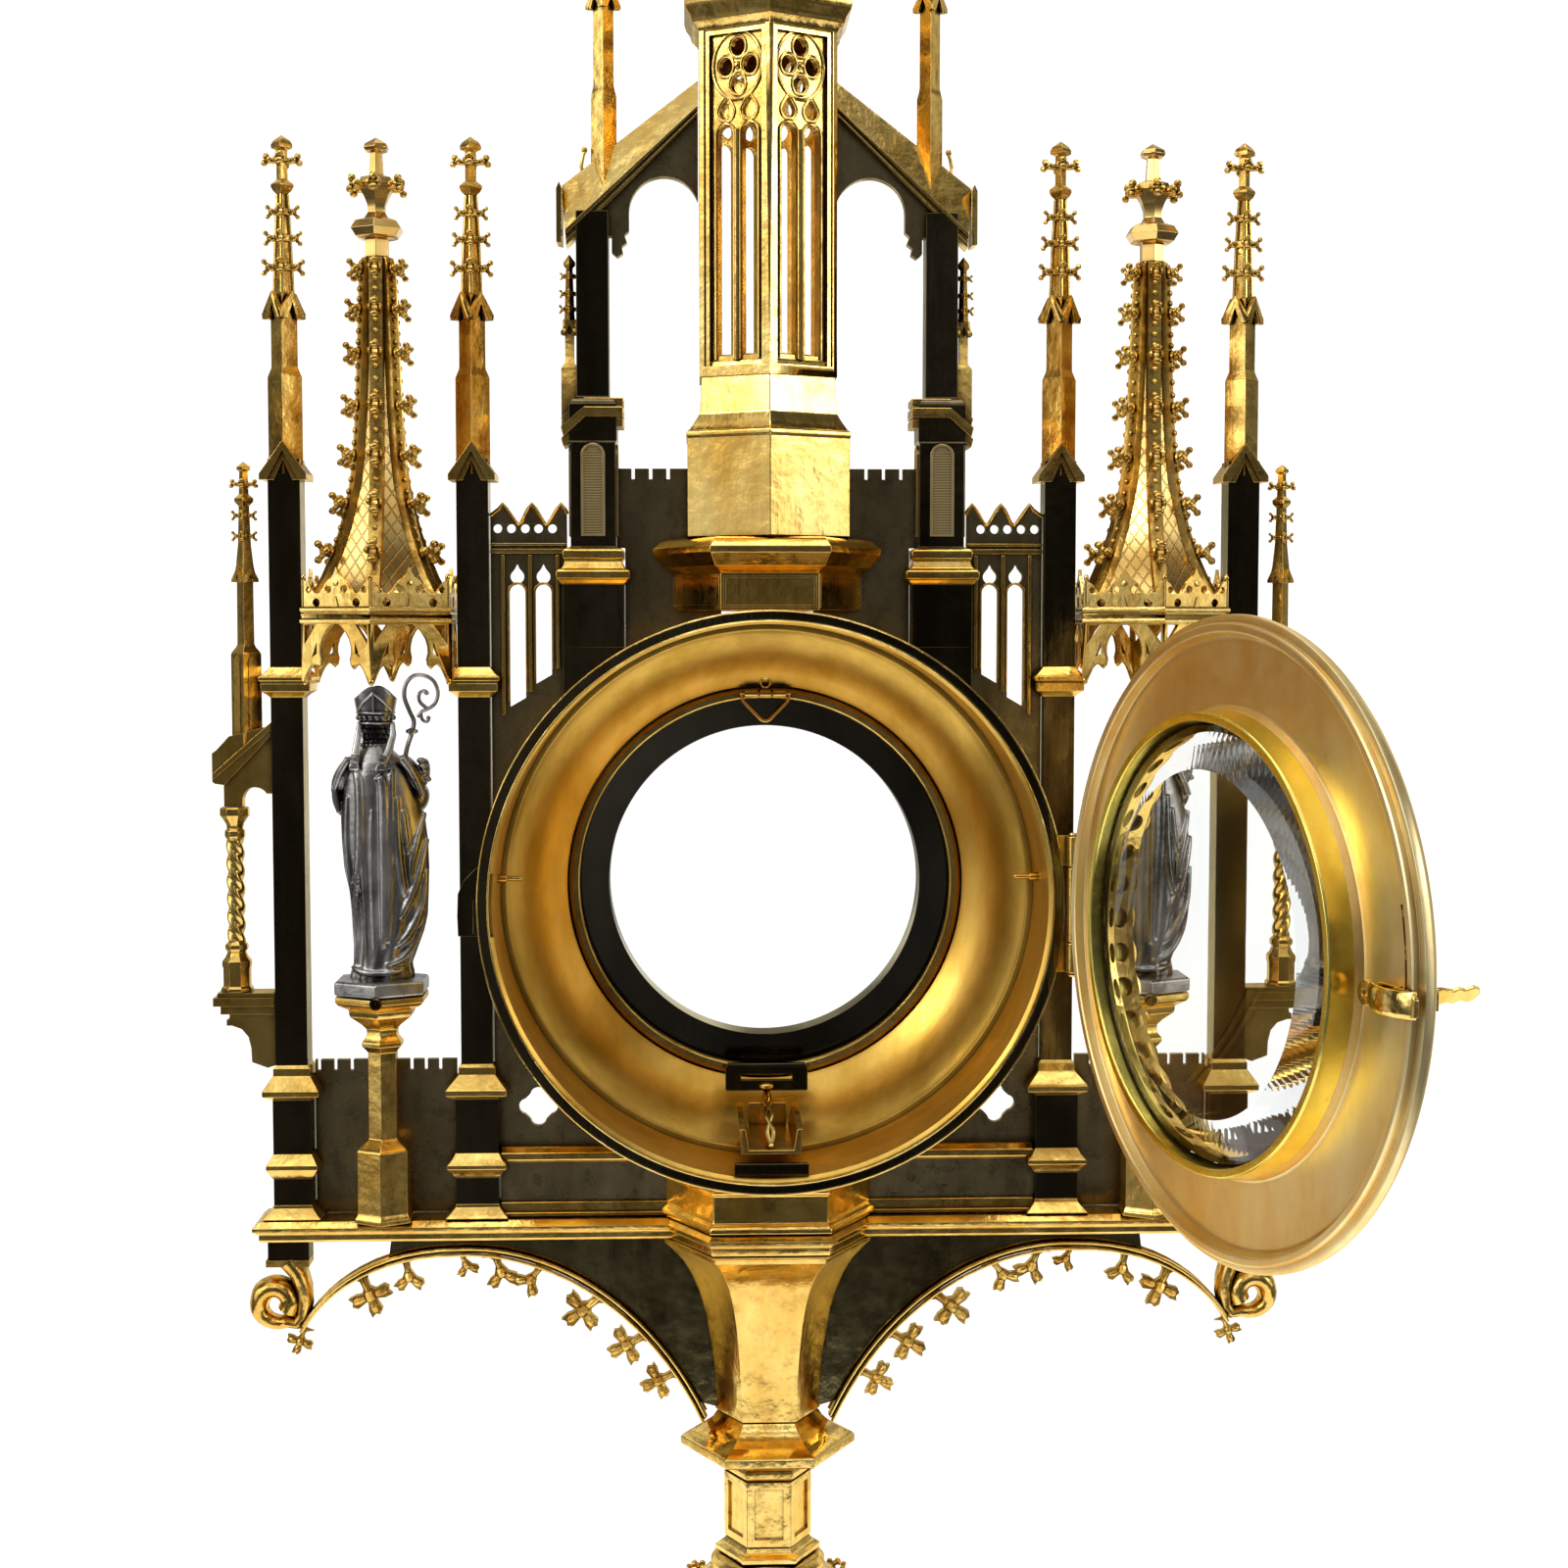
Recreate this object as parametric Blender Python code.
"""Neo-Gothic tower monstrance, modelled as separate named sub-parts.

Frame: +Z up, origin at the centre of the foot's underside. The service side, with the
glazed door, faces -Y. Lengths below are in millimetres and are turned into metres by MM.
"""
import bpy
import bmesh
from math import cos, pi, radians, sin, sqrt
from mathutils import Euler, Matrix, Vector
from mathutils.geometry import tessellate_polygon

MM = 0.001
GAP = 0.3                  # clearance between neighbouring pieces

# ---- driving dimensions (mm) -----------------------------------------------------------
HEIGHT = 840.0             # foot underside to the tip of the cross
FOOT_R = 104.0             # foot, centre to lobe tip
FOOT_TOP = 78.0
KNOP_Z = 140.5             # middle of the knop
KNOP_R = 25.0
STEM_R = 13.7              # hexagonal stem, centre to corner
STEM_BORE_R = 4.0
ROD_R = 3.0                # tie rod that pulls foot, stem and funnel together
COLLAR_Z = 194.6
COLLAR_R = 27.3
FUNNEL_Z = 209.3
PLATE_Z = 265.6            # underside of the base plate
PLATE_T = 6.4
PLATE_HALF_X = 157.0
PLATE_HALF_Y = 10.8
BAY_R = 37.0               # hexagonal bay in the middle of the base plate
PLINTH_TOP = 292.0
POST_HALF = 4.8            # square posts, half the width
INNER_BASE = 6.5           # their thicker lower lengths, half the width
OUTER_BASE = 5.9
FLANGE = 2.9               # how far the largest mouldings stand out from those
INNER_X = 89.0             # posts beside the case
OUTER_X = 145.2            # posts beside the statues
PINNACLE_TOP = 599.5
TURRET_X = (INNER_X + OUTER_X) / 2
CANOPY_R = 25.6
CASE_Z = 372.0             # centre of the round case
CASE_R = 83.3              # drum, outside
CASE_BORE = 81.4
RIM_R = 85.75
RIM_Y = -40.0              # front edge of the case rim
OPENING_R = 49.5           # clear opening on the people's side
DOOR_R = 84.0
DOOR_GLASS_R = 56.2
HINGE_X = 87.6
HINGE_Y = -42.6
DOOR_OPEN = radians(108.4)  # how far the door stands open at rest
LATCH_R = 74.5             # latch shaft, from the door's centre
LATCH_Z = 368.5
LATCH_SHAFT_R = 1.5
HOOK_REACH = 11.0
TALL_X = 52.6              # posts that carry the flying buttresses
TOWER_R = 23.6
TOWER_Z = 479.4
TOWER_TOP = 641.0
ROUND = 40                 # segments of the large round pieces
PIN = 16                   # segments of small round pieces

GOLD = (0.86, 0.58, 0.20)
PALE_GOLD = (0.90, 0.68, 0.32)
DARK_GOLD = (0.45, 0.31, 0.12)
SILVER = (0.42, 0.41, 0.40)
STEEL = (0.60, 0.60, 0.62)
GLASS = (0.92, 0.96, 0.95)

TILT_TO_Y = Matrix.Rotation(pi / 2, 4, "X")   # lathe axis +Z to -Y: height h lands at y = -h


# ---- mesh helpers ------------------------------------------------------------------------
def clear_scene():
    for item in list(bpy.data.objects):
        bpy.data.objects.remove(item, do_unlink=True)


def make_material(name, colour, roughness, metallic, transmission=0.0):
    material = bpy.data.materials.new(name)
    material.use_nodes = True
    shader = material.node_tree.nodes["Principled BSDF"]
    shader.inputs["Base Color"].default_value = (*colour, 1.0)
    shader.inputs["Roughness"].default_value = roughness
    shader.inputs["Metallic"].default_value = metallic
    shader.inputs["Transmission Weight"].default_value = transmission
    return material


def finish(name, bm, look, smooth=False, parent=None):
    """Turn a bmesh in millimetres into a named object in metres."""
    bmesh.ops.scale(bm, vec=(MM, MM, MM), verts=bm.verts)
    bmesh.ops.remove_doubles(bm, verts=bm.verts, dist=1e-6)
    bmesh.ops.recalc_face_normals(bm, faces=bm.faces)
    mesh = bpy.data.meshes.new(name)
    bm.to_mesh(mesh)
    bm.free()
    if smooth:
        mesh.shade_smooth()
        mesh.set_sharp_from_angle(angle=radians(35))
    piece = bpy.data.objects.new(name, mesh)
    bpy.context.scene.collection.objects.link(piece)
    colour, roughness, metallic = look[:3]
    piece.data.materials.append(make_material(name, colour, roughness, metallic, *look[3:]))
    piece.parent = parent
    return piece


def ring_points(radius, z, sides, turn, shape=None):
    points = []
    for k in range(sides):
        angle = turn + 2 * pi * k / sides
        reach = radius * (shape(angle) if shape else 1.0)
        points.append((reach * cos(angle), reach * sin(angle), z))
    return points


def lathe(bm, section, sides, turn=0.0, closed=False, shape=None, matrix=None):
    """Revolve (radius, height) pairs about Z. A closed section makes a ring-shaped body."""
    rows = []
    for radius, z in section:
        if radius < 1e-6:
            rows.append([bm.verts.new((0, 0, z))])
        else:
            rows.append([bm.verts.new(p) for p in ring_points(radius, z, sides, turn, shape)])
    pairs = list(zip(rows, rows[1:]))
    if closed:
        pairs.append((rows[-1], rows[0]))
    for low, high in pairs:
        for k in range(sides):
            n = (k + 1) % sides
            corners = [low[k % len(low)], low[n % len(low)], high[n % len(high)], high[k % len(high)]]
            corners = list(dict.fromkeys(corners))
            bm.faces.new(corners)
    if not closed:
        for row in (rows[0], rows[-1]):
            if len(row) > 2:
                bm.faces.new(row)
    made = [v for row in rows for v in row]
    if matrix is not None:
        bmesh.ops.transform(bm, matrix=matrix, verts=made)
    return made


def slab(bm, loops, thickness, matrix=None):
    """Extrude a flat outline with holes; it lies in XZ and is centred on Y = 0."""
    flat = [Vector((x, 0, z)) for loop in loops for x, z in loop]
    half = thickness / 2
    front = [bm.verts.new((p.x, -half, p.z)) for p in flat]
    back = [bm.verts.new((p.x, half, p.z)) for p in flat]
    for tri in tessellate_polygon([[Vector((x, z, 0)) for x, z in loop] for loop in loops]):
        bm.faces.new([front[i] for i in tri])
        bm.faces.new([back[i] for i in reversed(tri)])
    start = 0
    for loop in loops:
        count = len(loop)
        for k in range(count):
            a, b = start + k, start + (k + 1) % count
            bm.faces.new((front[a], front[b], back[b], back[a]))
        start += count
    if matrix is not None:
        bmesh.ops.transform(bm, matrix=matrix, verts=front + back)


def block(bm, low, high):
    size = Vector(high) - Vector(low)
    centre = (Vector(high) + Vector(low)) / 2
    bmesh.ops.create_cube(bm, size=1.0, matrix=Matrix.Translation(centre) @ Matrix.Diagonal((*size, 1.0)))


def turned(name, section, sides, look, place=(0, 0, 0), turn=0.0, closed=False, shape=None,
           smooth=False, matrix=None, parent=None):
    bm = bmesh.new()
    lathe(bm, section, sides, turn, closed, shape, Matrix.Translation(place) @ (matrix or Matrix()))
    return finish(name, bm, look, smooth, parent)


def plate(name, loops, thickness, look, place=(0, 0, 0), parent=None):
    bm = bmesh.new()
    slab(bm, loops, thickness, Matrix.Translation(place))
    return finish(name, bm, look, parent=parent)


def join(target, builders, operation="UNION"):
    """Add shapes to, or cut shapes from, a piece with exact booleans."""
    for number, build in enumerate(builders):
        bm = bmesh.new()
        build(bm)
        cutter = finish(f"{target.name}_{operation.lower()}_{number}", bm, (GOLD, 0.3, 1.0), parent=target.parent)
        cutter.hide_render = True
        cutter.display_type = "WIRE"
        modifier = target.modifiers.new(cutter.name, "BOOLEAN")
        modifier.operation = operation
        modifier.use_self = True
        modifier.object = cutter


def arc(cx, cz, radius, start, end, count):
    step = (end - start) / (count - 1)
    return [(cx + radius * cos(start + step * k), cz + radius * sin(start + step * k)) for k in range(count)]


def circle(cx, cz, radius, count=12):
    return arc(cx, cz, radius, 0, 2 * pi * (count - 1) / count, count)


def mirror_loop(loop, side):
    return [(side * x, z) for x, z in loop]


def bezier(points, count):
    curve = []
    a, b, c, d = [Vector(p) for p in points]
    for k in range(count + 1):
        t = k / count
        curve.append(tuple((1 - t) ** 3 * a + 3 * (1 - t) ** 2 * t * b + 3 * (1 - t) * t * t * c + t ** 3 * d))
    return curve


BRIGHT = (GOLD, 0.22, 1.0)
PALE = (PALE_GOLD, 0.28, 1.0)
DARK = (DARK_GOLD, 0.35, 1.0)
CLEAR = (GLASS, 0.02, 0.0, 1.0)
HEX_FLAT = 0.0             # a hexagon turned so that a flat faces -Y
HEX_POINT = pi / 6         # a hexagon turned so that a corner faces -Y
SQUARE = pi / 4            # a square with its faces on the axes


def square_profile(pairs):
    """Half widths to corner radii, for square sections made with four sides."""
    return [(half * sqrt(2), z) for half, z in pairs]


# ---- foot, stem and knop ---------------------------------------------------------------
def six_lobes(angle):
    """Six round lobes: 1 at each lobe's tip and 0.85 in the notch where two lobes meet."""
    return 0.85 + 0.15 * abs(cos(3 * angle)) ** 0.8


def build_foot():
    turned("foot_bottom_plate", [(FOOT_R - 4, 0), (FOOT_R - 4, 2.0)], 36, DARK, shape=six_lobes)
    outside = [(FOOT_R, 2.0 + GAP), (FOOT_R, 7), (FOOT_R - 4, 9), (FOOT_R - 4, 18), (FOOT_R - 1, 20),
               (FOOT_R - 3, 23), (84, 27), (66, 34), (46, 44), (30, 57), (21, 68), (17, 74), (17, FOOT_TOP)]
    inside = [(STEM_BORE_R + 1, FOOT_TOP), (STEM_BORE_R + 1, 72), (15, 66), (27, 54), (44, 41), (64, 31),
              (82, 24), (FOOT_R - 7, 20), (FOOT_R - 7, 2.0 + GAP)]
    turned("foot", outside + inside, 36, BRIGHT, closed=True, shape=six_lobes, smooth=True)


def build_stem():
    low, high = FOOT_TOP + GAP, KNOP_Z - 24 - GAP
    section = [(17, low), (17, low + 3), (STEM_R, low + 6), (12.2, low + 8), (12.2, high - 8),
               (STEM_R, high - 6), (16.5, high - 3), (16.5, high), (STEM_BORE_R, high), (STEM_BORE_R, low)]
    turned("stem_lower", section, 6, BRIGHT, closed=True, turn=HEX_FLAT)
    low, high = KNOP_Z + 24 + GAP, COLLAR_Z - GAP
    section = [(16.5, low), (16.5, low + 2), (STEM_R, low + 4), (STEM_R, high - 3), (14.8, high - 1.5),
               (14.8, high), (STEM_BORE_R, high), (STEM_BORE_R, low)]
    turned("stem_upper", section, 6, PALE, closed=True, turn=HEX_FLAT)


def build_knop():
    half = 24.0
    section = [(15, -half), (18, -half + 3), (18, -half + 5)]
    section += [(KNOP_R * cos(t) + 4, 19 * sin(t)) for t in (-0.9, -0.5, -0.22, 0.22, 0.5, 0.9)]
    section += [(18, half - 5), (18, half - 3), (15, half), (STEM_BORE_R, half), (STEM_BORE_R, -half)]
    knop = turned("knop", section, 24, BRIGHT, place=(0, 0, KNOP_Z), closed=True, turn=HEX_FLAT)

    def bosses(bm):
        for k in range(6):
            out = Matrix.Translation((0, 0, KNOP_Z)) @ Matrix.Rotation(k * pi / 3 + pi / 6, 4, "Z")
            out = out @ Matrix.Rotation(pi / 2, 4, "Y")
            lathe(bm, [(9.5, 22), (9.5, 34), (7, 36), (7, 35)], 4, 0.0, False, None, out)
    join(knop, [bosses])


def build_collar_and_funnel():
    section = [(15.8, COLLAR_Z), (17.5, COLLAR_Z + 1.6), (COLLAR_R, 199.0), (COLLAR_R, 201.4), (20, 204.4),
               (16.2, 207), (15.6, FUNNEL_Z - GAP), (STEM_BORE_R, FUNNEL_Z - GAP), (STEM_BORE_R, COLLAR_Z)]
    turned("collar", section, 6, PALE, closed=True, turn=HEX_FLAT)
    top = PLATE_Z - GAP
    section = [(16.4, FUNNEL_Z), (17.4, 220), (20, 238), (24, 251), (30, 260), (35, top), (STEM_BORE_R, top),
               (STEM_BORE_R, FUNNEL_Z)]
    turned("funnel", section, 6, BRIGHT, closed=True, turn=HEX_FLAT)


def build_tie_rod():
    """A rod from a hexagonal head under the foot up into the funnel's top."""
    rod = [(7.0, 2.0 + GAP), (7.0, 7.0), (ROD_R, 7.0), (ROD_R, PLATE_Z - 2)]
    turned("tie_rod", rod, 12, (STEEL, 0.3, 1.0))


# ---- base plate, brackets and plinth -------------------------------------------------------
def plate_outline(inset):
    """Long narrow bar with a regular hexagonal bay in the middle, flat sides to front and back."""
    x, y, r = PLATE_HALF_X - inset, PLATE_HALF_Y - inset, BAY_R - inset
    meet = r - y / sqrt(3)
    quarter = [(x, y), (meet, y), (r / 2, r * sqrt(3) / 2)]
    loop = quarter + [(-a, b) for a, b in reversed(quarter)]
    return loop + [(-a, -b) for a, b in loop]


def prism(bm, levels):
    """Stack outlines of equal point count: [(z, outline), ...]."""
    rows = [[bm.verts.new((x, y, z)) for x, y in outline] for z, outline in levels]
    count = len(rows[0])
    for low, high in zip(rows, rows[1:]):
        for k in range(count):
            n = (k + 1) % count
            bm.faces.new((low[k], low[n], high[n], high[k]))
    bm.faces.new(rows[0])
    bm.faces.new(rows[-1])


def build_base_plate():
    bm = bmesh.new()
    z = PLATE_Z
    prism(bm, [(z, plate_outline(2.2)), (z + 1.4, plate_outline(1.0)), (z + 2.6, plate_outline(0)),
               (z + 5.0, plate_outline(0)), (z + PLATE_T, plate_outline(1.0))])
    finish("base_plate", bm, BRIGHT)


SCROLL_X = 151.8
SCROLL_Z = 245.3
SCROLL_R = 7.2


def rib_curve(offset=0.0):
    """Lower rib of the bracket, from the scroll over its crown and down beside the funnel."""
    first = bezier([(143.5, 237), (136, 250), (120, 261.3), (95, 261)], 5)
    second = bezier([(95, 261), (70, 262), (38, 246), (19.7, 206.8)], 8)
    points = first + second[1:]
    return [(x + offset * 0.4, z - offset) for x, z in points]


def build_bracket(side, word):
    top = PLATE_Z - GAP
    flank = [(37.3, top), (31.0, 259.5), (24.6, 250), (20.8, 238), (18.0, 220), (17.2, 211.0)]
    foot = [(18.0, 209.6), (21.5, 205.0)]
    lower = [(x, z) for x, z in reversed(rib_curve(2.2)) if 22 < x < 141]
    scroll = arc(SCROLL_X, SCROLL_Z, SCROLL_R, radians(-150), radians(75), 11)
    outer = [(154.0, 257.6), (154.0, top)]
    loop = flank + foot + lower + [(142.4, 235.4)] + scroll + outer
    plate(f"arch_bracket_{word}", [mirror_loop(loop, side)], 8.0, PALE)


def build_plinth():
    low, top = PLATE_Z + PLATE_T + GAP, PLINTH_TOP
    inner = INNER_X - INNER_BASE - FLANGE - GAP
    bm = bmesh.new()
    block(bm, (-inner, -4.5, low), (inner, 4.5, 286.0))
    plinth = finish("plinth", bm, BRIGHT)

    def bay(bm):
        lathe(bm, [(33.5, low), (33.5, low + 8.5), (31.8, low + 10), (31.8, 285.3)], 6, HEX_FLAT)

    def panels(bm):
        for side in (1, -1):
            x0, x1 = 44.0, inner
            curve = []
            for k in range(6):
                x = x0 + (x1 - x0) * k / 5
                r = CASE_R + 1.2
                curve.append((x, CASE_Z - sqrt(max(r * r - x * x, 0.0))))
            loop = [(x0, 285.0), (x1, 285.0), (x1, min(curve[-1][1], 350.0))] + list(reversed(curve[:-1]))
            eye = circle(71.0, 305.8, 4.2, 8)
            slab(bm, [mirror_loop(loop, side), mirror_loop(eye, side)], 3.0)
    join(plinth, [bay, panels])


# ---- turrets -------------------------------------------------------------------------------
ROOF_HALF = 7.1             # gabled roof of a post, half the span
ROOF_EAVES = 496.6
ROOF_RIDGE = 508.4


def roof_loop(grow=0.0):
    """End view of the small gabled roof, with upright eaves."""
    w, top = ROOF_HALF + grow, ROOF_RIDGE + grow * 1.6
    return [(-w, ROOF_EAVES), (w, ROOF_EAVES), (w, ROOF_EAVES + 1.8), (0, top), (-w, ROOF_EAVES + 1.8)]


def build_post(x, word):
    h = POST_HALF
    low = INNER_BASE if abs(x) < TURRET_X else OUTER_BASE
    z = PLATE_Z + PLATE_T + GAP
    section = [(low + 2.2, z), (low + 2.2, z + 1.6), (low, z + 3.6), (low, 284.6), (low + 2.2, 286.8),
               (low + 2.2, 288.4), (low, 291.2), (low, 308.4), (low + FLANGE, 310), (low + FLANGE, 312.4),
               (h + 1.8, 315), (h + 0.7, 317.6), (h + 0.7, 319.6), (h, 320.6), (h, 430.5), (h + 1.8, 433),
               (h + 3.0, 436.2), (h + 3.0, 438), (h, 441), (h, 497.6)]
    post = turned(f"post_{word}", square_profile(section), 4, DARK, place=(x, 0, 0), turn=SQUARE)

    def roof(bm):
        slab(bm, [roof_loop()], 13.4, Matrix.Translation((x, 0, 0)))
    join(post, [roof])


def build_pinnacle(x, word):
    section = [(4.8, ROOF_EAVES + 4), (4.8, 526.8), (3.9, 530), (3.9, 544.4), (6.3, 545), (4.6, 549), (3.3, 554.5),
               (3.1, 558.6), (5.3, 559.4), (5.3, 560.4), (3.0, 561.2), (2.7, 567.2), (4.6, 568), (4.6, 569),
               (2.6, 569.8), (2.3, 575.6), (4.0, 576.2), (4.0, 577.2), (2.2, 578), (1.9, 582.4), (3.5, 584.4),
               (1.9, 586.2), (1.8, 589.6), (6.0, 590.8), (6.0, 592.4), (1.8, 593.4), (1.6, 595.4), (3.2, 597),
               (1.2, PINNACLE_TOP)]
    pinnacle = turned(f"pinnacle_{word}", section, 4, BRIGHT, place=(x, 0, 0), turn=0.0)

    def roof(bm):
        slab(bm, [roof_loop(GAP)], 14.0, Matrix.Translation((x, 0, 0)))
    join(pinnacle, [roof], "DIFFERENCE")


def post_edge(x, direction, base, low, top):
    """Edge of a screen beside a post, from low to top, kept clear of the post's mouldings."""
    near, far = x + direction * (base + GAP), x + direction * (base + FLANGE + GAP)
    edge = []
    for z0, z1, at in ((low, 276.4, far), (276.4, 284.2, near), (284.2, 291.6, far), (291.6, 308.0, near),
                       (308.0, top, far)):
        edge += [(at, z0), (at, z1)]
    return edge


def build_parapet(side, word):
    low, top = PLATE_Z + PLATE_T + GAP, 319.6
    left = post_edge(INNER_X, 1, INNER_BASE, low, top)
    right = post_edge(OUTER_X, -1, OUTER_BASE, low, top)
    slots = []
    for x in (TURRET_X + 15.5, TURRET_X + 11.0, TURRET_X + 6.5, TURRET_X - 6.5, TURRET_X - 11.0, TURRET_X - 15.5):
        slots += [(x + 0.5, top), (x + 0.5, top - 2.8), (x - 0.5, top - 2.8), (x - 0.5, top)]
    loop = right + slots + list(reversed(left))
    plate(f"parapet_{word}", [mirror_loop(loop, side)], 2.4, DARK, place=(0, 2.5, 0))


def build_statue_column(side, word):
    z = PLATE_Z + PLATE_T + GAP
    section = [(8.7, z), (8.7, 294.2), (5.2, 297.4), (5.0, 325), (6.8, 326), (6.8, 328), (5.2, 329.4), (5.2, 331.6),
               (10.6, 336.6), (10.6, 339), (15.2, 340.2), (15.2, 342.2)]
    turned(f"statue_column_{word}", section, 6, BRIGHT, place=(side * TURRET_X, -8.0, 0), turn=HEX_POINT)


def build_statue(side, word):
    """Bishop in a cope and mitre on a hexagonal plinth, in simple rounded masses."""
    bm = bmesh.new()
    body = [(13.0, 348.4), (13.4, 354), (12.2, 375), (12.8, 392), (13.2, 402), (11.0, 411), (5.0, 416.5),
            (4.2, 419), (5.4, 423), (5.6, 428), (5.2, 430), (5.9, 434), (3.2, 439.5), (1.0, 441.5)]
    lathe(bm, body, 12, 0.0, False, None, Matrix.Diagonal((1.0, 0.72, 1.0, 1.0)))
    low = 342.2 + GAP
    bmesh.ops.translate(bm, vec=(side * TURRET_X, -8.0, 0), verts=bm.verts)
    statue = finish(f"statue_{word}", bm, (SILVER, 0.38, 1.0), smooth=True)

    def base(part):
        lathe(part, [(15.6, low), (15.6, 345.2), (14.2, 346.5), (14.2, 349.0)], 6, HEX_POINT, False, None,
              Matrix.Translation((side * TURRET_X, -8.0, 0)))

    def staff(part):
        tilt = Matrix.Translation((side * TURRET_X + 12.2, -8.0, 0))
        lathe(part, [(2.0, 384), (1.6, 396), (1.2, 436), (0.6, 440)], 8, 0.0, False, None, tilt)
    join(statue, [base, staff])


def build_canopy(side, word):
    """Hexagonal canopy: an arched skirt whose points hang at the corners, below a cresting."""
    per_side = 6
    bm = bmesh.new()
    r_out, r_in = CANOPY_R, CANOPY_R - 1.8
    rows = [[], [], [], []]
    for k in range(6 * per_side):
        corner, t = divmod(k, per_side)
        t /= per_side
        a0 = HEX_POINT + corner * pi / 3
        a1 = a0 + pi / 3
        drop = 437.0 + 15.5 * (1 - abs(2 * t - 1) ** 2.2) ** 0.6
        for row, radius, z in ((0, r_out, drop), (1, r_out, 470.0), (2, r_in, 470.0), (3, r_in, drop)):
            x = radius * ((1 - t) * cos(a0) + t * cos(a1))
            y = radius * ((1 - t) * sin(a0) + t * sin(a1))
            rows[row].append(bm.verts.new((side * TURRET_X + x, y, z)))
    count = 6 * per_side
    for a, b in ((0, 1), (1, 2), (2, 3), (3, 0)):
        for k in range(count):
            n = (k + 1) % count
            bm.faces.new((rows[a][k], rows[a][n], rows[b][n], rows[b][k]))
    finish(f"canopy_{word}", bm, BRIGHT)
    low = 457.0
    reach = r_in - GAP
    section = [(reach, low), (reach, low + 3), (19.2, 467), (14.6, 476), (11.2, 488), (9.2, 500), (7.4, 514.5),
               (5.4, 538), (4.0, 561), (3.8, 569), (6.6, 571), (6.6, 572.2), (2.6, 575), (2.2, 580), (8.2, 584),
               (6.6, 587), (2.2, 589), (1.9, 594), (3.2, 596.8), (1.0, PINNACLE_TOP)]
    turned(f"canopy_spire_{word}", section, 6, BRIGHT, place=(side * TURRET_X, 0, 0), turn=HEX_POINT)


def build_outer_side(side, word):
    """Small outer bay: a corbel, a twisted column and a sloping arch with a pinnacle."""
    wall = OUTER_X + POST_HALF + GAP
    tip = 168.8
    hollow = [(157.0, 322.0), (157.4, 327.0), (159.6, 330.2), (163.4, 331.6)]
    loop = [(wall + 3.4, 340.8), (wall + 3.4, 318.4), (154.8, 318.4), (158.6, 320.4)] + hollow
    loop += [(tip - 1.4, 332.4), (tip, 336.4), (tip, 340.8)]
    plate(f"outer_corbel_{word}", [mirror_loop(loop, side)], 11.0, BRIGHT)
    z = 340.8 + GAP
    section = [(4.5, z), (4.5, 350.6), (3.0, 354), (3.6, 355.4), (2.2, 357), (2.2, 388.6), (3.2, 390), (3.0, 392),
               (4.5, 396), (4.5, 398)]
    turned(f"twisted_column_{word}", section, PIN // 2, BRIGHT, place=(side * 162.1, 0, 0), turn=pi / 8)
    low = 398 + GAP
    arch = arc(155.2, 400.4, 3.9, 0.0, pi - 0.4, 6)
    loop = [(wall, 402.0)] + [(x, z2) for x, z2 in reversed(arch)] + [(159.1, low), (164.8, low), (164.8, 404.4)]
    loop += [(167.6, 405.0), (167.6, 414.6), (163.4, 419.0), (wall, 430.4)]
    pinnacle = plate(f"outer_pinnacle_{word}", [mirror_loop(loop, side)], 8.4, BRIGHT)
    tall = [(4.6, 416), (4.6, 445.4), (2.6, 447.6), (2.6, 468), (4.0, 471), (3.6, 476), (2.0, 478), (3.8, 480),
            (3.8, 482), (1.9, 484), (3.6, 486), (3.6, 488), (1.6, 489.6), (2.9, 491), (1.6, 492.4), (4.4, 494.4),
            (4.4, 496.6), (1.6, 498.4), (2.2, 500.4), (0.8, 501.8)]

    def shaft(bm):
        lathe(bm, tall, 4, 0.0, False, None, Matrix.Translation((side * 158.0, 0, 0)))
    join(pinnacle, [shaft])


# ---- case ----------------------------------------------------------------------------------
def along_y(pairs):
    """(radius, y) pairs to the lathe's (radius, height) pairs; TILT_TO_Y lands height h at y = -h."""
    return [(radius, -y) for radius, y in pairs]


CASE_AXIS = Matrix.Translation((0, 0, CASE_Z)) @ TILT_TO_Y


def round_piece(name, pairs, look, sides=ROUND, closed=True, parent=None, matrix=CASE_AXIS):
    return turned(name, along_y(pairs), sides, look, closed=closed, smooth=True, matrix=matrix, parent=parent)


def knuckle(bm, low, high, x, y):
    lathe(bm, [(1.05, low), (1.8, low), (1.8, high), (1.05, high)], PIN, 0.0, True, None,
          Matrix.Translation((x, y, 0)))


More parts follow.
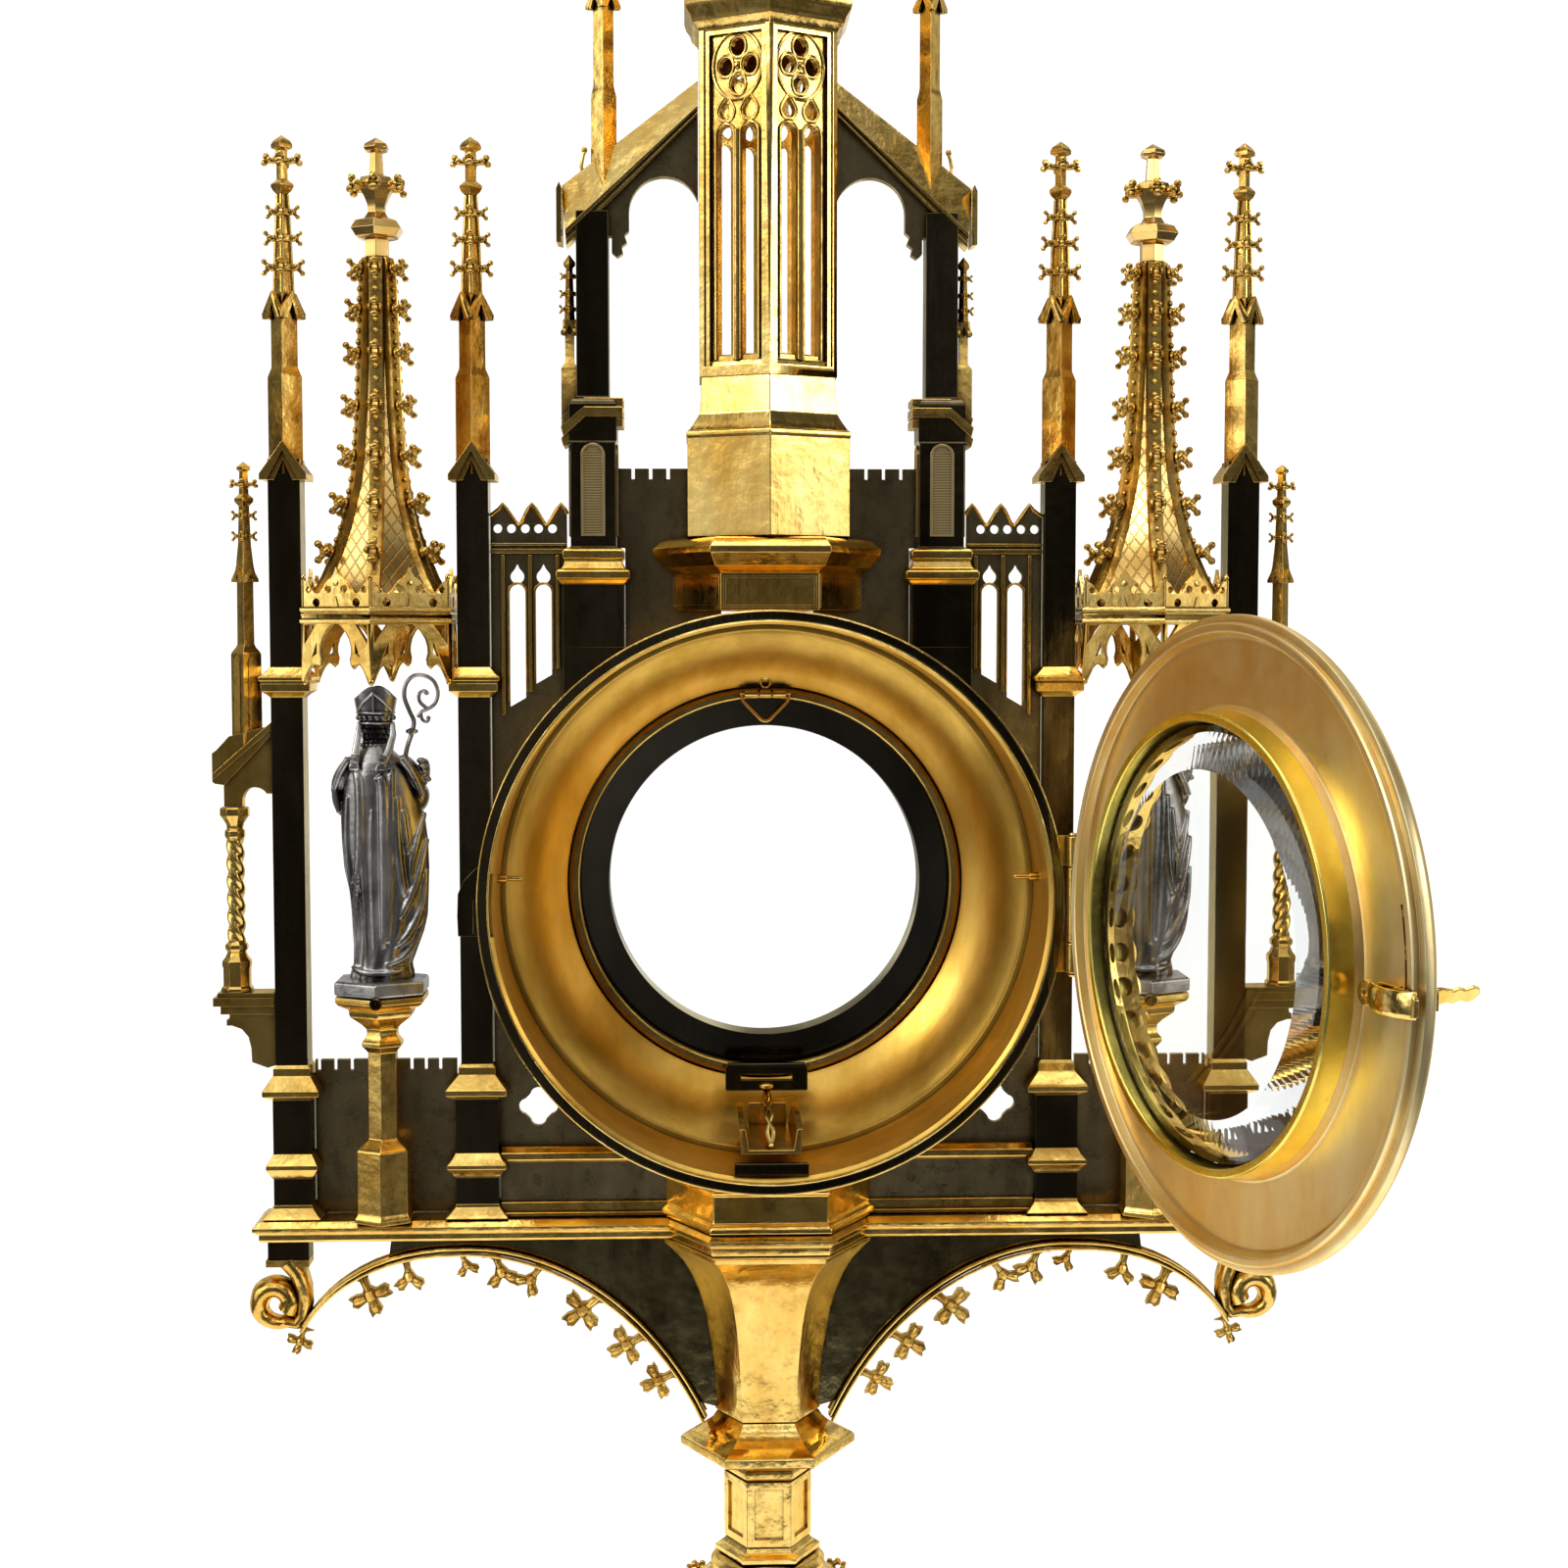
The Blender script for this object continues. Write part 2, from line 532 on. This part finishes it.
def build_case():
    drum = [(82.7, RIM_Y), (RIM_R, RIM_Y), (RIM_R, -37), (CASE_R, -35.5), (CASE_R, 28), (CASE_BORE, 28),
            (CASE_BORE, -36), (82.7, -37.2)]
    case = round_piece("case_drum", drum, PALE)

    def lug(bm):
        loop = [(-85.2, 366), (-91.2, 366), (-91.2, 379), (-86.5, 382.5), (-84.4, 382.5)]
        slab(bm, [loop], 3.0, Matrix.Translation((0, -38.3, 0)))

    def rings(bm):
        knuckle(bm, 352, 360.8, HINGE_X, HINGE_Y)
        knuckle(bm, 383.2, 392, HINGE_X, HINGE_Y)

    def arms(bm):
        for low, high in ((352, 360.8), (383.2, 392)):
            slab(bm, [[(82.9, low), (HINGE_X - 1.2, low), (HINGE_X - 1.2, high), (82.9, high)]], 1.2,
                 Matrix.Translation((0, -39.2, 0)))
            slab(bm, [[(HINGE_X - 1.7, low), (HINGE_X - 1.1, low), (HINGE_X - 1.1, high),
                       (HINGE_X - 1.7, high)]], 4.2, Matrix.Translation((0, -40.8, 0)))
    join(case, [lug, arms, rings])

    def keep(bm):
        block(bm, (-86.7, -38.9, 362.5), (-80.5, -35.9, 381.0))
        block(bm, (-86.7, -40.3, 364.0), (-80.5, -38.0, 373.6))
    join(case, [keep], "DIFFERENCE")


def build_case_inside():
    curve = [(79.6, 0.0), (78.6, 1.2), (75.6, 8.5), (70.0, 15.0), (63.6, 19.0), (62.2, 20.5), (62.2, 27.7)]
    back = [(63.4, 27.7), (63.4, 21.5), (71.0, 16.6), (77.0, 9.6), (79.6, 2.6), (CASE_BORE - GAP, 1.6)]
    round_piece("case_bowl", [(CASE_BORE - GAP, -1.0), (79.9, -1.0)] + curve + back, BRIGHT)
    bezel = [(CASE_R, 28.3), (84.6, 29.6), (84.6, 32.5), (82.0, 34.2), (66, 38.0), (52, 41.8), (OPENING_R, 40.8),
             (OPENING_R, 28.3)]
    round_piece("front_bezel", bezel, BRIGHT)
    round_piece("front_glass", [(0.0, 24.0), (60.6, 24.0), (61.6, 25.0), (61.6, 27.8), (0.0, 27.8)][::-1],
                CLEAR, closed=False)
    ring = round_piece("glass_ring", [(58.2, 20.2), (61.7, 20.2), (61.7, 23.7), (58.2, 23.7)], BRIGHT)

    def clasp_lugs(bm):
        for x0, x1 in ((-6.4, -2.4), (2.4, 6.4)):
            lathe(bm, [(0.75, x0), (1.5, x0), (1.5, x1), (0.75, x1)], PIN, 0.0, True, None,
                  Matrix.Translation((0, 18.9, CASE_Z + 59.9)) @ Matrix.Rotation(pi / 2, 4, "Y"))
    join(ring, [clasp_lugs])


def build_clasp():
    """Wire catch that hangs from the retaining ring and hooks down over the lunula's top."""
    z = CASE_Z + 59.9
    bm = bmesh.new()
    lathe(bm, [(0.55, -7.6), (0.55, 7.6)], 8, 0.0, False, None,
          Matrix.Translation((0, 18.9, z)) @ Matrix.Rotation(pi / 2, 4, "Y"))
    clasp = finish("clasp_wire", bm, BRIGHT)

    def wire(part):
        outer = [(-7.6, z + 0.5), (-7.6, z - 2.8), (-1.2, z - 9.2), (1.2, z - 9.2), (7.6, z - 2.8), (7.6, z + 0.5)]
        inner = [(6.7, z + 0.5), (6.7, z - 2.4), (0.8, z - 8.1), (-0.8, z - 8.1), (-6.7, z - 2.4), (-6.7, z + 0.5)]
        slab(part, [outer + inner], 1.0, Matrix.Translation((0, 18.9, 0)))
    join(clasp, [wire])


def build_lunula_rail():
    """Channel on the case floor that the lunula's foot slides into, with an end stop."""
    z = 297.4
    bm = bmesh.new()
    section = [(-8.9, z), (8.9, z), (8.9, z + 7.5), (7.6, z + 7.5), (7.6, z + 1.4), (-7.6, z + 1.4),
               (-7.6, z + 7.5), (-8.9, z + 7.5)]
    slab(bm, [section], 40.0, Matrix.Translation((0, -15.0, 0)))
    rail = finish("lunula_rail", bm, BRIGHT)

    def ends(part):
        block(part, (-13.0, 9.0, 303.5), (13.0, 12.0, 316.8))
        block(part, (-6.0, 2.0, z + 0.5), (6.0, 5.2, 305.0))
        block(part, (-6.0, 4.0, 301.0), (6.0, 11.5, 306.0))
        block(part, (-11.0, -37.0, 292.0), (11.0, -33.5, z + 0.9))
    join(rail, [ends])


# ---- door ----------------------------------------------------------------------------------
def build_door():
    """The door is drawn closed, about its hinge line, then swung open by its parent empty."""
    empty = bpy.data.objects.new("door_axis", None)
    bpy.context.scene.collection.objects.link(empty)
    empty.location = (HINGE_X * MM, HINGE_Y * MM, 0)
    empty.rotation_euler = Euler((0, 0, DOOR_OPEN))
    axis = Matrix.Translation((-HINGE_X, -HINGE_Y, CASE_Z)) @ TILT_TO_Y
    frame = [(DOOR_R, -40.5), (DOOR_R, -43.4), (82.6, -44.8), (80, -45.2), (62, -43.4), (59.6, -45.4),
             (56.6, -45.4), (56.6, -31.8), (59.2, -31.8), (59.9, -33), (60.3, -41.0), (79.0, -42.0), (80.6, -38.6),
             (82.1, -38.6), (82.1, -40.5)]
    door = round_piece("door_frame", frame, PALE, parent=empty, matrix=axis)

    def hinge_leaf(bm):
        slab(bm, [[(-5.6, 361.6), (-1.35, 361.6), (-1.35, 382.4), (-5.6, 382.4)]], 1.1,
             Matrix.Translation((0, -0.5, 0)))

    def hinge_ring(bm):
        knuckle(bm, 361.2, 382.8, 0, 0)
    join(door, [hinge_leaf, hinge_ring])

    def latch_hole(bm):
        lathe(bm, [(LATCH_SHAFT_R + 0.2, 30), (LATCH_SHAFT_R + 0.2, 50)], PIN, 0.0, False, None,
              Matrix.Translation((-HINGE_X - LATCH_R, -HINGE_Y, LATCH_Z)) @ TILT_TO_Y)
    join(door, [latch_hole], "DIFFERENCE")
    glass = [(0.0, -32.4), (45.0, -32.4), (56.2, -34.4), (56.2, -37.4), (0.0, -37.4)]
    round_piece("door_glass", glass, CLEAR, closed=False, parent=empty, matrix=axis)
    bezel = [(53.2, -37.8), (56.2, -37.8), (56.2, -45.8), (58.6, -45.8), (58.6, -47.2), (54.4, -52.0), (53.2, -52.0)]
    round_piece("door_bezel", bezel, BRIGHT, parent=empty, matrix=axis)
    build_latch(empty)


def build_latch(empty):
    """Turn latch: a thumb tab outside, a shaft through the door ring and a hook inside."""
    x = -HINGE_X - LATCH_R
    shift = Matrix.Translation((0, -HINGE_Y, 0))
    bm = bmesh.new()
    lathe(bm, along_y([(LATCH_SHAFT_R, -37.2), (LATCH_SHAFT_R, -47.5)]), PIN, 0.0, False, None,
          shift @ Matrix.Translation((x, 0, LATCH_Z)) @ TILT_TO_Y)
    lever = finish("latch_lever", bm, BRIGHT, parent=empty)

    def hook(part):
        loop = [(x + 4.0, LATCH_Z - 3.4), (x + 4.0, LATCH_Z + 3.4), (x - 4.0, LATCH_Z + 3.4), (x - 9.0, LATCH_Z + 2.8),
                (x - HOOK_REACH, LATCH_Z + 1.6), (x - HOOK_REACH, LATCH_Z - 2.6), (x - 4.0, LATCH_Z - 3.4)]
        slab(part, [loop], 1.4, shift @ Matrix.Translation((0, -37.3, 0)))

    def tab(part):
        block(part, (x - 4.5, -46.4 - HINGE_Y, LATCH_Z - 2.6), (x + 4.5, -48.0 - HINGE_Y, LATCH_Z + 2.6))
        block(part, (x - 4.0, -61.0 - HINGE_Y, LATCH_Z - 0.6), (x + 4.0, -47.4 - HINGE_Y, LATCH_Z + 0.6))
    join(lever, [hook, tab])
    screw = [(2.0, -34.9), (2.6, -35.6), (2.6, -36.3)]
    round_piece("latch_screw", screw, PALE, sides=PIN, closed=False, parent=empty,
                matrix=shift @ Matrix.Translation((x, 0, LATCH_Z)) @ TILT_TO_Y)


# ---- upper works -----------------------------------------------------------------------------
def lancet(x, low, top, half):
    """Pointed-arch opening: straight sides, then two arcs that meet at the top."""
    spring = top - half * 1.9
    right = [(x + half, low), (x + half, spring), (x + half * 0.72, spring + half * 1.1), (x, top)]
    return right + [(2 * x - a, b) for a, b in reversed(right[:-1])]


def build_facade(side, word):
    """Screen between an inner post and a tall post, cut round the case, with two lancets."""
    x0, x1 = TALL_X + 9.6, INNER_X - POST_HALF - GAP - 3.4
    r = CASE_R + 1.2
    floor = [(x0 + (x1 - x0) * k / 5, CASE_Z + sqrt(r * r - (x0 + (x1 - x0) * k / 5) ** 2)) for k in range(6)]
    top = 484.6
    crest = []
    teeth = 3
    for k in range(teeth * 2 + 1):
        crest.append((x1 - (x1 - x0) * k / (teeth * 2), top if k % 2 else top + 4.8))
    beside_post = [(x0, 477.0), (TALL_X + 11.4, 477.0), (TALL_X + 11.4, 464.4), (x0, 464.4)]
    loop = floor + crest + beside_post
    openings = [lancet(68.4, 437.6, 465.6, 2.3), lancet(75.9, 430, 465.6, 2.3)]
    plate(f"facade_{word}", [mirror_loop(w, side) for w in [loop] + openings], 2.6, DARK)


def build_tall_post(side, word):
    section = [(9.2, 446.0), (9.2, 465), (11.0, 467), (11.0, 469.6), (8.6, 472.6), (9.1, 474.8), (6.8, 476.6),
               (6.8, 508.6), (8.4, 512), (9.0, 518.4), (5.0, 521.4), (4.9, 569.7)]
    post = turned(f"tall_post_{word}", square_profile(section), 4, DARK, place=(side * TALL_X, 0, 0), turn=SQUARE)
    small = [(2.6, 508), (2.6, 530.6), (1.5, 532), (1.5, 541), (2.9, 542), (1.4, 546), (2.4, 548.4), (1.2, 550),
             (2.3, 553), (1.1, 554.6), (2.3, 558.2), (0.9, 560), (1.2, 562.8), (0.5, 564.8)]

    def side_pinnacle(bm):
        lathe(bm, square_profile(small), 4, SQUARE, False, None, Matrix.Translation((side * 59.6, 1.0, 0)))
    join(post, [side_pinnacle])


def build_console():
    """Hexagonal console on the case's crown, with a slotted screen on each side of it."""
    section = [(29.2, 458.4), (29.2, 467.5), (31, 470), (35.5, 472.5), (35.5, 474.5), (31, 479.1)]
    console = turned("tower_console", section, 6, BRIGHT, turn=HEX_FLAT)

    def wings(bm):
        reach = TALL_X - 11.0 - GAP
        for side in (1, -1):
            loop = [(24.0, 462.0), (27.0, 455.0 + 6.0), (reach, 461.0), (reach, 476.0), (reach + 3.6, 476.5),
                    (reach + 3.6, 499.8)]
            for x in (40.5, 35.5, 30.5):
                loop += [(x + 0.5, 499.8), (x + 0.5, 497), (x - 0.5, 497), (x - 0.5, 499.8)]
            loop += [(25.7, 499.8), (25.7, 479.6), (24.0, 475.0)]
            slab(bm, [mirror_loop(loop, side)], 2.6)
    join(console, [wings])


def build_tower():
    """Hexagonal lantern tower with a lancet cut into each face."""
    z = TOWER_Z
    r = TOWER_R
    section = [(28.4, z), (28.4, 508.6), (27.4, 510.4), (24.6, 513.4), (r, 515), (r, 629), (25.4, 632.4),
               (28.4, 638.5), (28.4, TOWER_TOP), (20.5, TOWER_TOP), (20.5, z)]
    tower = turned("tower", section, 6, PALE, turn=HEX_POINT, closed=True)

    def windows(bm):
        for k in range(6):
            spin = Matrix.Rotation(k * pi / 3, 4, "Z")
            for x in (-3.2, 3.2):
                slab(bm, [lancet(x, 533, 599.6, 1.9)], 8.0, spin @ Matrix.Translation((0, 21.1, 0)) )
            slab(bm, [circle(0, 617.4, 4.6, 8)], 8.0, spin @ Matrix.Translation((0, 21.1, 0)))
    join(tower, [turn_windows(windows)], "DIFFERENCE")


def turn_windows(build):
    def turned_build(bm):
        build(bm)
        bmesh.ops.rotate(bm, verts=bm.verts, matrix=Matrix.Rotation(HEX_POINT, 3, "Z"))
    return turned_build


def build_buttress(side, word):
    """Flying buttress: a sloping coping over an arched web, with a pinnacle on its foot."""
    inner = TOWER_R * cos(pi / 6) + 0.5
    low = 569.7 + GAP
    loop = [(inner, 620.0)] + arc(31.4, 576.5, 9.9, 2.75, 0.1, 8)
    loop += [(41.0, 566.0), (44.0, 563.0), (46.6, 566.0), (46.6, low), (58.8, low), (61.4, 567.3), (63.3, 567.6), (63.3, 583.4)]
    loop += [(62.3, 585.4), (60.4, 584.2), (53.0, 591.2)]
    loop += [(53.0, 612), (51.6, 614), (51.6, 640), (53.6, 641.5), (51.4, 648), (50.6, 676)]
    loop += [(52.4, 678), (50.2, 686), (48.4, 686), (46.2, 678), (48.0, 676), (47.2, 648), (45.0, 641.5)]
    loop += [(47.0, 640), (47.0, 614), (45.6, 612), (45.6, 598.3)]
    plate(f"flying_buttress_{word}", [mirror_loop(loop, side)], 7.4, BRIGHT)


def build_spire():
    z = TOWER_TOP + GAP
    section = [(27.0, z), (27.0, z + 4), (21.5, 648), (17.0, 660), (13.6, 680), (10.8, 705), (8.2, 735), (6.0, 762),
               (5.0, 778), (9.0, 781), (9.0, 783), (4.5, 786), (3.0, 789.7)]
    turned("tower_spire", section, 6, BRIGHT, turn=HEX_POINT)
    low = 790.0
    arm = [(2.6, low), (2.0, 797), (5.4, 801), (2.4, 805), (2.2, 815), (9.0, 815), (12.5, 812.6), (14.6, 817.2),
           (12.5, 821.8), (9.0, 819.4), (2.2, 819.4), (2.2, 831), (4.4, 834.6), (0.0, HEIGHT)]
    loop = arm + [(-x, z2) for x, z2 in reversed(arm[:-1])]
    plate("finial_cross", [loop], 4.4, BRIGHT)


def main():
    clear_scene()
    build_foot()
    build_stem()
    build_knop()
    build_collar_and_funnel()
    build_tie_rod()
    build_base_plate()
    build_plinth()
    build_case()
    build_case_inside()
    build_clasp()
    build_lunula_rail()
    turned("hinge_pin", [(0.85, 351.2), (0.85, 392.8)], 12, BRIGHT, place=(HINGE_X, HINGE_Y, 0))
    build_door()
    build_console()
    build_tower()
    build_spire()
    for side, word in ((-1, "left"), (1, "right")):
        build_bracket(side, word)
        build_parapet(side, word)
        build_statue_column(side, word)
        build_statue(side, word)
        build_canopy(side, word)
        build_outer_side(side, word)
        build_facade(side, word)
        build_tall_post(side, word)
        build_buttress(side, word)
        for x, place in ((INNER_X, "inner"), (OUTER_X, "outer")):
            build_post(side * x, f"{place}_{word}")
            build_pinnacle(side * x, f"{place}_{word}")


main()
